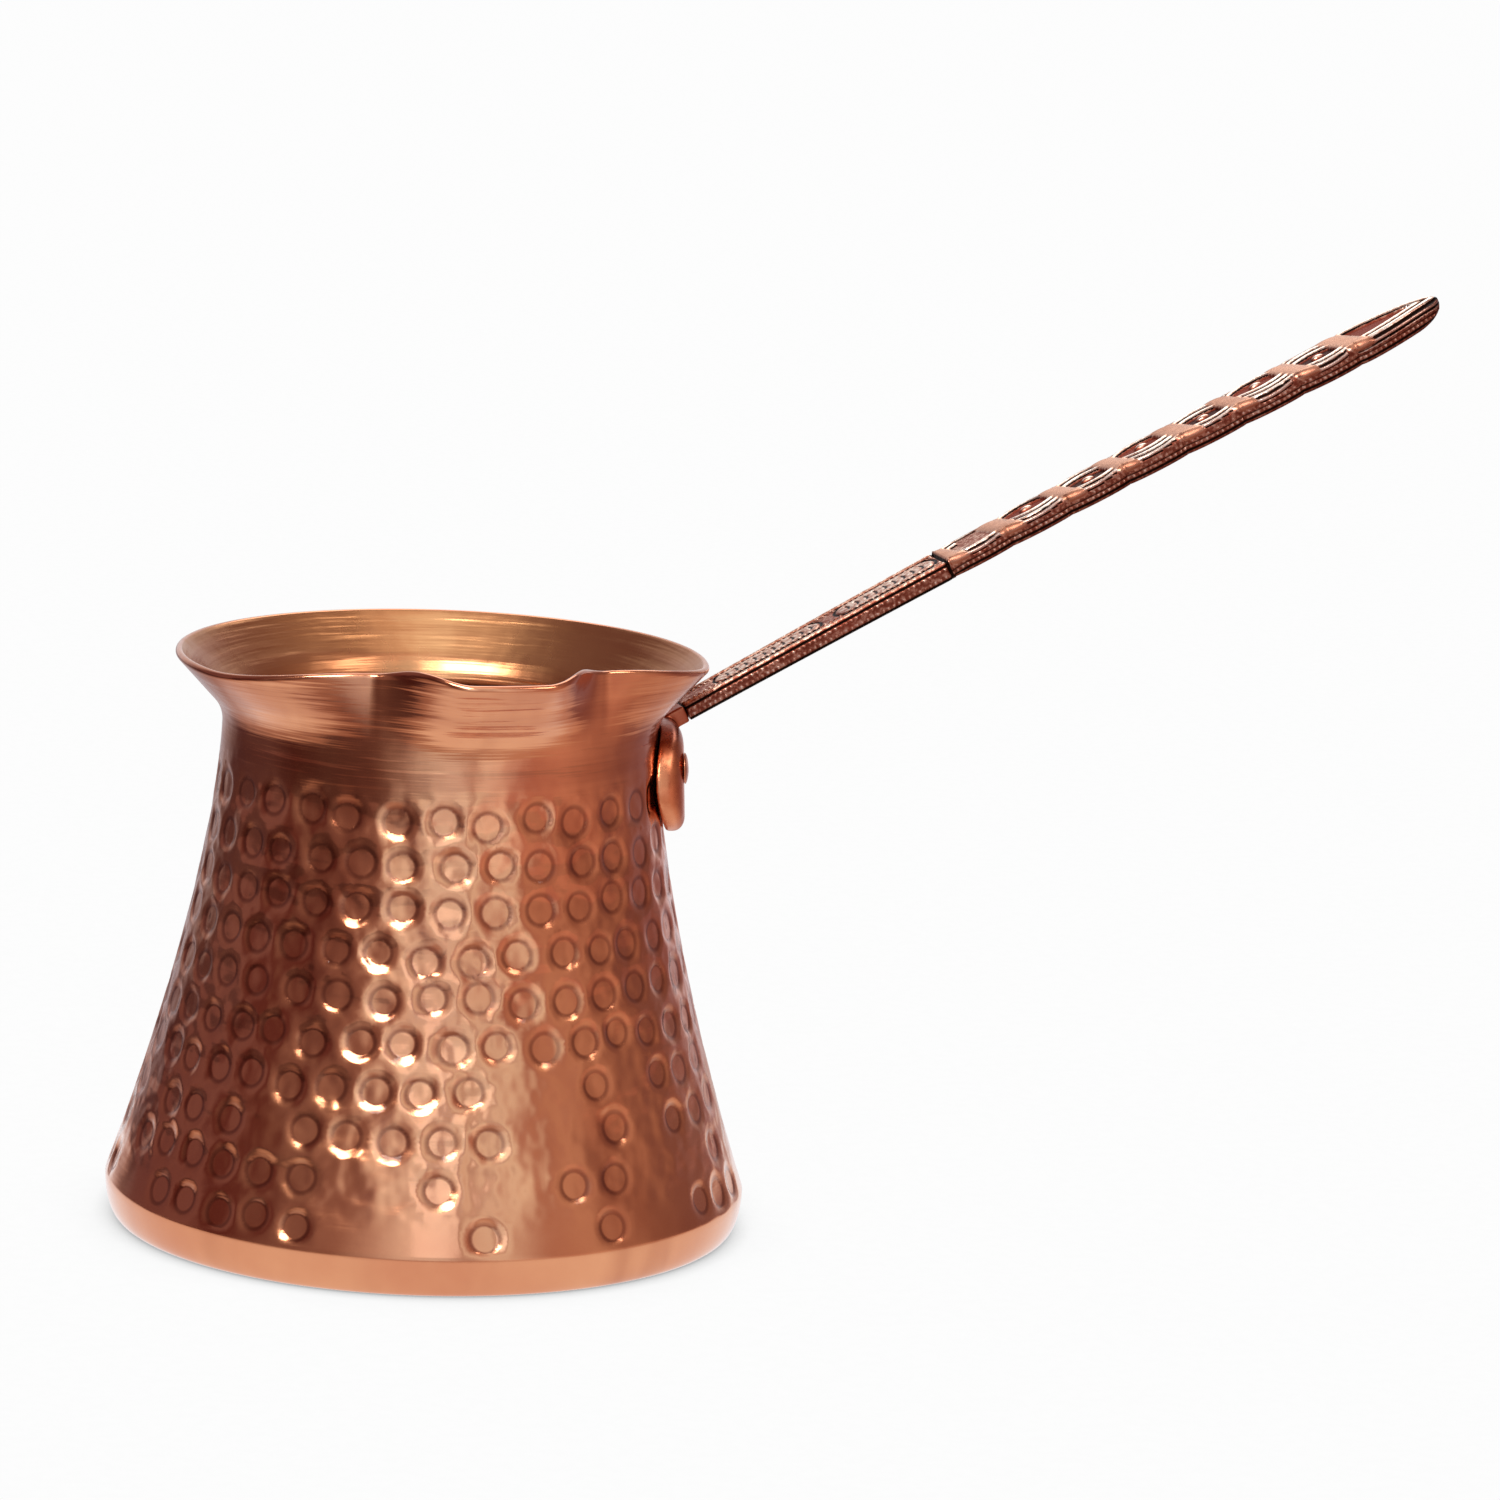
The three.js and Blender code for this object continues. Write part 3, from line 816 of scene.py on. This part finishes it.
# ---- Bracket ----
def shield_outline():
    """The plate's outline, across (y) and up (z), as one closed loop."""
    widest, widest_at = PLATE_WIDEST
    foot, head = (PLATE_FOOT, PLATE_BOTTOM), (PLATE_HEAD, PLATE_TOP - PLATE_SHOULDER)
    waist = (widest, widest_at)
    curves = (
        ((0, PLATE_BOTTOM), (3, PLATE_BOTTOM), (6, PLATE_BOTTOM), foot, 16),
        (foot, (PLATE_FOOT + 4, PLATE_BOTTOM), (widest, widest_at - 4), waist, 34),
        (waist, (widest, widest_at + 3.5), (PLATE_HEAD + 2.5, head[1] - 1), head, 30),
        (head, (PLATE_HEAD - 4, PLATE_TOP), (6, PLATE_TOP), (0, PLATE_TOP), 22),
    )
    right = np.concatenate(
        [cubic(*ends, np.linspace(0, 1, steps, endpoint=False))[0] for *ends, steps in curves]
    )
    top = [[0, PLATE_TOP]]
    left = right[1:][::-1] * [-1, 1]
    return np.concatenate([right, top, left])


def plate():
    """The cast plate: it hugs the neck inside, and its outer edges are well rounded."""
    outline = shield_outline()
    middle = np.array([0, 71.5])
    reach = np.hypot(*(outline - middle).T)
    rings = []

    def ring(inset, radius_of, sunk):
        flat = middle + (outline - middle) * (1 - inset / reach)[:, None]
        radius = radius_of(flat[:, 1]) - sunk
        depth = np.sqrt(np.maximum(radius**2 - flat[:, 0] ** 2, 1))
        rings.append(np.stack([depth, flat[:, 0], flat[:, 1]], -1))

    def inner_radius(height):
        return np.interp(height, WALL[2], WALL[1]) + GAP

    for share in (0.12, 0.3, 0.5, 0.7, 0.85):
        ring(PLATE_EDGE_REACH + (1 - share) * (reach - PLATE_EDGE_REACH), plate_outer_radius, 0)
    for spin in np.linspace(0, 1, 10) * math.pi / 2:
        sunk = PLATE_EDGE * (1 - math.cos(spin))
        ring(PLATE_EDGE_REACH * (1 - math.sin(spin)), plate_outer_radius, sunk)
    thick = plate_outer_radius(outline[:, 1]) - inner_radius(outline[:, 1])
    for share in np.linspace(0, 1, 8)[1:-1]:
        sunk = PLATE_EDGE + (thick - PLATE_EDGE - 0.3) * share
        ring(0.0, plate_outer_radius, sunk)
    for inset in (0.05, 0.3, 1.0, 2.5):
        ring(inset, inner_radius, -0.3 if inset < 0.1 else 0)
    for share in (0.7, 0.5, 0.3, 0.12):
        ring((1 - share) * (reach - 1), inner_radius, 0)
    points = np.concatenate([*rings, [rings[0].mean(axis=0), rings[-1].mean(axis=0)]])
    return make_object("cast_bracket", points, closed_tube(len(rings), len(outline)))


def bar_block(start, end, width, height):
    """A block in the bar's own frame, resting on its underside, as a mesh in the CAD frame."""
    points = []
    for x in (start, end):
        for y, z in ((-0.5, 0), (0.5, 0), (0.5, 1), (-0.5, 1)):
            points.append(to_frame(np.array(x), y * width, z * height))
    faces = [(0, 1, 2, 3), (7, 6, 5, 4), (0, 4, 5, 1), (1, 5, 6, 2), (2, 6, 7, 3), (3, 7, 4, 0)]
    return make_object("block", points, faces)


def bracket():
    """The plate, the lug at its top and the tongue that enters the handle, cast as one."""
    piece = plate()
    shape = bmesh.new()
    shape.from_mesh(piece.data)
    for block in (
        bar_block(-LUG_LENGTH - GAP / 2, -GAP / 2, BAR_WIDTH[0], BAR_THICKNESS[0]),
        bar_block(-2.0, TONGUE_LENGTH, TONGUE_WIDTH, TONGUE_HEIGHT),
    ):
        shape.from_mesh(block.data)
        bpy.data.objects.remove(block)
    shape.to_mesh(piece.data)
    shape.free()
    remesh = piece.modifiers.new("remesh", "REMESH")
    remesh.mode = "VOXEL"
    remesh.voxel_size = 0.22 * MM
    soften = piece.modifiers.new("soften", "SMOOTH")
    soften.factor = 0.5
    soften.iterations = 9
    apply_modifiers(piece)
    drill_rivet_holes(piece)
    return piece


# ---- Materials ----
class Shader:
    """A small helper that adds nodes to a material or world, joined by value or socket."""

    def __init__(self, owner):
        self.owner = owner
        owner.use_nodes = True
        self.tree = owner.node_tree
        self.tree.nodes.clear()

    def add(self, kind, inputs=None, **settings):
        node = self.tree.nodes.new("ShaderNode" + kind)
        for key, value in settings.items():
            setattr(node, key, value)
        for key, value in (inputs or {}).items():
            socket = node.inputs[key]
            if isinstance(value, bpy.types.NodeSocket):
                self.tree.links.new(value, socket)
            elif socket.type == "RGBA":
                socket.default_value = (*value, 1)
            else:
                socket.default_value = value
        return node

    def place(self, scale):
        """Object coordinates times a scale for each axis."""
        coordinates = self.add("TexCoord").outputs["Object"]
        mapping = self.add("Mapping", {"Vector": coordinates, "Scale": scale})
        return mapping.outputs["Vector"]

    def noise(self, scale, detail, stretch=(1, 1, 1)):
        inputs = {"Vector": self.place(stretch), "Scale": scale, "Detail": detail}
        return self.add("TexNoise", {**inputs, "Roughness": 0.55}).outputs["Fac"]

    def ramp(self, factor, *stops):
        node = self.add("ValToRGB", {"Fac": factor})
        elements = node.color_ramp.elements
        elements[0].position, elements[0].color = stops[0][0], (*stops[0][1], 1)
        elements[1].position, elements[1].color = stops[-1][0], (*stops[-1][1], 1)
        for position, color in stops[1:-1]:
            elements.new(position).color = (*color, 1)
        return node.outputs["Color"]

    def span(self, value, low, high, to_low=0.0, to_high=1.0):
        inputs = {"Value": value, "From Min": low, "From Max": high}
        inputs |= {"To Min": to_low, "To Max": to_high}
        return self.add("MapRange", inputs, interpolation_type="SMOOTHSTEP").outputs["Result"]

    def math(self, operation, a, b):
        return self.add("Math", {0: a, 1: b}, operation=operation).outputs["Value"]

    def times(self, a, b):
        return self.math("MULTIPLY", a, b)

    def value(self, title):
        """A value that the mesh holds on its points."""
        return self.add("Attribute", attribute_name=title).outputs["Fac"]

    def height(self):
        place = self.add("TexCoord").outputs["Object"]
        return self.add("SeparateXYZ", {0: place}).outputs["Z"]

    def gray(self, value):
        return self.add("CombineColor", {0: value, 1: value, 2: value}).outputs[0]

    def mix(self, factor, a, b, blend="MIX"):
        """Two colours mixed; the sockets 6, 7 and 2 are the node's colour ones."""
        inputs = {"Factor": factor, 6: a, 7: b}
        return self.add("Mix", inputs, data_type="RGBA", blend_type=blend).outputs[2]

    def bump(self, height, strength, distance, normal=None):
        inputs = {"Height": height, "Strength": strength, "Distance": distance}
        if normal is not None:
            inputs["Normal"] = normal
        return self.add("Bump", inputs).outputs["Normal"]

    def metal(self, color, roughness, normal, **more):
        inputs = {"Base Color": color, "Metallic": 1.0, "Roughness": roughness, "Normal": normal}
        surface = self.add("BsdfPrincipled", {**inputs, **more}).outputs["BSDF"]
        self.add("OutputMaterial", {"Surface": surface})
        return self.owner


def pot_copper():
    """Polished, lacquered copper: spun lines, cloudy tarnish and painted shade round the pits'
    walls.
    """
    look = Shader(bpy.data.materials.new("pot_copper_look"))
    inside = look.value("inside")
    clouds = look.noise(26, 5)
    streaks = look.noise(60, 3, (1, 1, 0.22))
    bands = look.noise(95, 4, (0.1, 0.1, 2.2))
    bright = look.ramp(clouds, (0.3, (0.6, 0.21, 0.1)), (0.7, (0.76, 0.34, 0.165)))
    tarnished = look.mix(look.span(streaks, 0.5, 0.78, 0, 0.6), bright, (0.4, 0.11, 0.05))
    golden = look.mix(look.times(inside, 0.8), tarnished, (0.5, 0.245, 0.1))
    pit = look.value("pit")
    # Painted shade: a dark ring on each pit's wall, mixed into the colour below.
    ring_in = look.span(pit, 0.58, 0.72)
    ring_out = look.span(pit, 0.76, 0.98, 1, 0)
    ring = look.times(ring_in, ring_out)
    stained_and_shaded = look.mix(look.times(ring, 0.6), golden, (0.2, 0.045, 0.022))
    height = look.height()
    spun_area = look.math("MAXIMUM", look.span(height, 0.071, 0.077), inside)
    banding = look.times(look.span(bands, 0.42, 0.62), spun_area)
    banded = look.mix(look.times(banding, 0.38), stained_and_shaded, (0.4, 0.12, 0.06))
    even = look.math("MAXIMUM", look.span(height, 0.008, 0.016, 1, 0), look.times(spun_area, 0.8))
    uneven = look.math("SUBTRACT", 1.0, even)
    dips = look.times(look.math("SUBTRACT", look.noise(60, 3), 0.5), uneven)
    lines = look.times(look.math("SUBTRACT", bands, 0.5), spun_area)
    normal = look.bump(dips, 1.0, 0.0021)
    normal = look.bump(lines, 1.0, 0.0007, normal)
    normal = look.bump(look.noise(900, 2, (0.04, 0.04, 1.6)), 0.1, 0.00012, normal)
    normal = look.bump(look.noise(1500, 3), 0.08, 0.00006, normal)
    roughness = look.math("ADD", look.span(clouds, 0.25, 0.75, 0.13, 0.21), look.times(inside, 0.1))
    coat = {"Coat Weight": look.span(inside, 0, 1, 0.3, 0.0), "Coat Roughness": 0.08}
    return look.metal(banded, roughness, normal, **coat)


def handle_bronze():
    """Cast copper alloy: rubbed bright on the ridges, with painted shade nearly black in the
    grooves and dimming the side faces, speckled.
    """
    look = Shader(bpy.data.materials.new("handle_bronze_look"))
    relief = look.value("relief")
    knuckle = look.value("knuckle")
    side = look.value("side")
    hollow_shade = look.value("hollow_shade")
    speckle = look.noise(1300, 3)
    clouds = look.noise(90, 4)
    height = look.math("ADD", relief, look.span(speckle, 0.35, 0.68, -0.08, 0.12))
    # Painted shade and wear: the lower the relief, the darker the colour; the ridges are rubbed
    # pale.
    wear_and_shade = look.ramp(
        look.span(height, -0.2, 0.34),
        (0.0, (0.22, 0.04, 0.02)), (0.4, (0.42, 0.18, 0.115)),
        (0.7, (0.8, 0.52, 0.38)), (0.95, (1.0, 0.86, 0.72)),
    )
    smooth = look.ramp(clouds, (0.35, (0.56, 0.26, 0.15)), (0.65, (0.82, 0.47, 0.31)))
    color = look.mix(look.span(knuckle, 0.25, 0.6), wear_and_shade, smooth)
    # Painted shade: the side faces are darkened as if lit less than the top.
    shaded = look.mix(look.times(side, 0.82), color, (0.36, 0.18, 0.15), "MULTIPLY")
    stained_and_shaded = look.mix(look.span(clouds, 0.52, 0.78, 0, 0.6), shaded, (0.24, 0.045, 0.025))
    # Painted shade: the grooves and hollows are darkened nearly to black.
    hollow_shaded = look.mix(look.span(hollow_shade, 0.15, 0.65), stained_and_shaded, (0.008, 0.003, 0.002))
    normal = look.bump(speckle, 0.4, 0.00014)
    rubbed = look.span(height, -0.2, 0.3, 0.55, 0.22)
    roughness = look.math("MAXIMUM", rubbed, look.times(knuckle, 0.42))
    return look.metal(hollow_shaded, roughness, normal)


def bracket_copper():
    """Red cast copper with a satin skin, and painted shade on its top round the lug."""
    look = Shader(bpy.data.materials.new("bracket_copper_look"))
    clouds = look.noise(120, 4)
    cast = look.ramp(clouds, (0.3, (0.5, 0.15, 0.07)), (0.7, (0.7, 0.25, 0.115)))
    height = look.height()
    # Painted shade: the top of the plate, round the lug under the flare and handle, is darkened.
    color = look.mix(look.span(height, 0.0755, 0.0795, 0, 0.7), cast, (0.2, 0.03, 0.018))
    skin = look.noise(900, 3)
    normal = look.bump(look.noise(260, 2), 0.25, 0.0004)
    normal = look.bump(skin, 0.2, 0.0001, normal)
    return look.metal(color, look.span(skin, 0.3, 0.7, 0.24, 0.34), normal)


def rivet_copper():
    """Hammered copper, polished by handling, with darker marks round the blows."""
    look = Shader(bpy.data.materials.new("rivet_copper_look"))
    marks = look.noise(520, 3)
    color = look.ramp(marks, (0.32, (0.42, 0.14, 0.07)), (0.62, (0.72, 0.31, 0.17)))
    normal = look.bump(marks, 0.3, 0.0002)
    return look.metal(color, look.span(marks, 0.3, 0.7, 0.34, 0.22), normal)


# ---- Studio ----
VIEW_AZIMUTH = math.radians(-105.0)  # where the camera stands round the pot
CAMERA_REACH, CAMERA_HEIGHT = 1.00016, 0.26745
CAMERA_YAW, CAMERA_PITCH, CAMERA_ROLL = 0.04815, 0.1888, 0.0449
CAMERA_LENS = 157.2
AIM_HEIGHT = 0.05  # where the softboxes point, up the pot's axis
PALE = (0.98, 0.98, 0.98)
# The paper's painted glow as the copper sees it; no lamp lights it.
PAPER_NEAR = (1.04, 1.09, 1.15)
PAPER_FADE = (0.08, 0.142)  # metres from the pot's axis
PAPER_FAR = (0.13, 0.24)
PAPER_SHADE = (0.54, 0.4, 0.37)
PAPER_SHADE_RIGHT = (0.78, 0.6, 0.54)  # the same on the camera's right
PAPER_LEFT, PAPER_RIGHT = 0.62, 1.45  # how bright the far paper is at either side
PAPER_SIDES = 0.3  # metres to the left and right at which it is so
# The room round the pot, by degrees to the right of the camera.
ROOM = (
    (-180, (0.85, 0.85, 0.88)), (-152, (0.7, 0.66, 0.7)), (-128, (0.2, 0.11, 0.12)),
    (-96, (0.26, 0.17, 0.2)), (-78, (0.14, 0.05, 0.055)), (-56, (0.24, 0.16, 0.17)),
    (-30, (0.34, 0.24, 0.25)), (-18, (0.66, 0.66, 0.74)), (-6, (1.06, 1.36, 1.6)),
    (8, (1.0, 1.32, 1.6)), (16, (0.6, 0.56, 0.62)), (24, (1.06, 1.36, 1.55)),
    (36, (0.8, 0.82, 0.9)), (46, (0.54, 0.36, 0.35)), (64, (0.66, 0.5, 0.46)),
    (84, (0.46, 0.31, 0.28)), (108, (0.26, 0.15, 0.15)), (134, (0.3, 0.2, 0.22)),
    (156, (0.7, 0.66, 0.7)), (180, (0.85, 0.85, 0.88)),
)


def camera():
    data = bpy.data.cameras.new("camera")
    data.lens = CAMERA_LENS
    eye = link_object("camera", data)
    place = CAMERA_REACH * direction(VIEW_AZIMUTH, 0)
    place.z = CAMERA_HEIGHT
    backwards = direction(VIEW_AZIMUTH - CAMERA_YAW, CAMERA_PITCH)
    eye.matrix_world = facing(place, backwards) @ Matrix.Rotation(CAMERA_ROLL, 4, "Z")
    bpy.context.scene.camera = eye


def softbox(name, from_camera, elevation, distance, size, power, color=(1, 1, 1)):
    """A rectangular light aimed at the pot. from_camera is degrees round from the camera."""
    data = bpy.data.lights.new(name, "AREA")
    data.shape = "RECTANGLE"
    data.size, data.size_y = size
    data.energy = power
    data.color = color
    light = link_object(name, data)
    aim = Vector((0, 0, AIM_HEIGHT))
    turn = VIEW_AZIMUTH + math.radians(from_camera)
    place = aim + distance * direction(turn, math.radians(elevation))
    light.matrix_world = facing(place, place - aim)


def room_color(shader, vector):
    """What the room looks like to the copper, by direction round the pot: a bright window
    behind the camera, a dim warm room on both sides of it, and a pale far side."""
    turned = shader.add("Mapping", {"Vector": vector, "Rotation": (0, 0, -VIEW_AZIMUTH)})
    around = shader.add("TexGradient", {"Vector": turned.outputs[0]}, gradient_type="RADIAL")
    stops = [((degrees + 180) / 360, color) for degrees, color in ROOM]
    return shader.ramp(around.outputs["Fac"], *stops)


def studio_world():
    """A pale surround for the camera, and the room for everything the copper reflects."""
    world = bpy.data.worlds.new("studio")
    bpy.context.scene.world = world
    look = Shader(world)
    way = look.add("TexCoord").outputs["Generated"]
    room = look.add("Background", {"Color": room_color(look, way)})
    pale = look.add("Background", {"Color": PALE})
    seen = look.add("LightPath").outputs["Is Camera Ray"]
    mix = look.add("MixShader", {0: seen, 1: room.outputs[0], 2: pale.outputs[0]})
    look.add("OutputWorld", {"Surface": mix.outputs[0]})


def floor_paper():
    """Plain pale paper that glows and is not lit. The camera sees it evenly bright, with a
    painted soft shadow where the pot stands. The copper sees a painted glow, bright close by and
    fading into the room further off."""
    look = Shader(bpy.data.materials.new("floor_paper_look"))
    tooth = look.span(look.noise(400, 2), 0.3, 0.7, -0.004, 0.004)
    # Painted shadow: ambient occlusion darkens the glow the camera sees round the pot.
    open_sky = look.add("AmbientOcclusion", {"Distance": 0.05}, samples=8).outputs["AO"]
    shade = look.math("ADD", look.span(open_sky, 0.05, 0.75, 0.42, PALE[0]), tooth)
    place = look.add("NewGeometry").outputs["Position"]
    reach = look.add("VectorMath", {0: place}, operation="LENGTH").outputs["Value"]
    right = (-math.sin(VIEW_AZIMUTH), math.cos(VIEW_AZIMUTH), 0)
    aside = look.add("VectorMath", {0: place, 1: right}, operation="DOT_PRODUCT").outputs["Value"]
    # For the copper, painted light: a painted shade band round the bright paper near the pot,
    # lighter on the camera's right, and the room's colours further out.
    shaded = look.mix(look.span(aside, 0, PAPER_FADE[1]), PAPER_SHADE, PAPER_SHADE_RIGHT)
    close = look.mix(look.span(reach, *PAPER_FADE), PAPER_NEAR, shaded)
    room = look.mix(1.0, room_color(look, place), (0.85, 0.8, 0.8), "MULTIPLY")
    side = look.span(aside, -PAPER_SIDES, PAPER_SIDES, PAPER_LEFT, PAPER_RIGHT)
    room = look.mix(1.0, room, look.gray(side), "MULTIPLY")
    lit = look.mix(look.span(reach, *PAPER_FAR), close, room)
    seen = look.add("LightPath").outputs["Is Camera Ray"]
    glow = look.mix(seen, lit, look.gray(shade))
    surface = look.add("Emission", {"Color": glow}).outputs[0]
    look.add("OutputMaterial", {"Surface": surface})
    look.owner.cycles.emission_sampling = "NONE"
    return look.owner


def floor():
    """A wide round sheet of paper whose top is just under the pot."""
    shape = bmesh.new()
    bmesh.ops.create_circle(shape, cap_ends=True, segments=96, radius=14.0)
    mesh = bpy.data.meshes.new("floor")
    shape.to_mesh(mesh)
    shape.free()
    sheet = link_object("floor", mesh)
    sheet.location.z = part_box("pot_body")[0].z - 0.00002
    mesh.materials.append(floor_paper())


def studio():
    floor()
    studio_world()
    softbox("key_softbox", -20, 46, 1.5, (0.8, 0.6), 22)
    softbox("front_panel", 5, 25, 1.5, (0.42, 0.62), 0.5, (0.75, 1.0, 1.3))
    softbox("overhead_softbox", 0, 84, 1.4, (0.9, 0.9), 1.6)
    softbox("right_softbox", 62, 48, 1.8, (0.5, 0.6), 5)
    softbox("back_softbox", 170, 50, 1.8, (1.4, 0.9), 7)
    camera()
    shown = bpy.context.scene.view_settings
    shown.view_transform = "Standard"
    shown.look = "None"


# ---- Assembly ----
def finish_piece(piece, material, node):
    piece.data.materials.clear()
    piece.data.materials.append(material)
    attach(piece, "root")
    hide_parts(node)


def main():
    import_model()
    finish_piece(pot_body(), pot_copper(), "pot_body")
    finish_piece(handle(), handle_bronze(), "handle")
    finish_piece(bracket(), bracket_copper(), "handle_bracket")
    draw = np.random.default_rng(SEED + 1)
    rivet_finish = rivet_copper()
    for name in RIVETS:
        finish_piece(rivet(name, draw), rivet_finish, name)
    studio()


main()
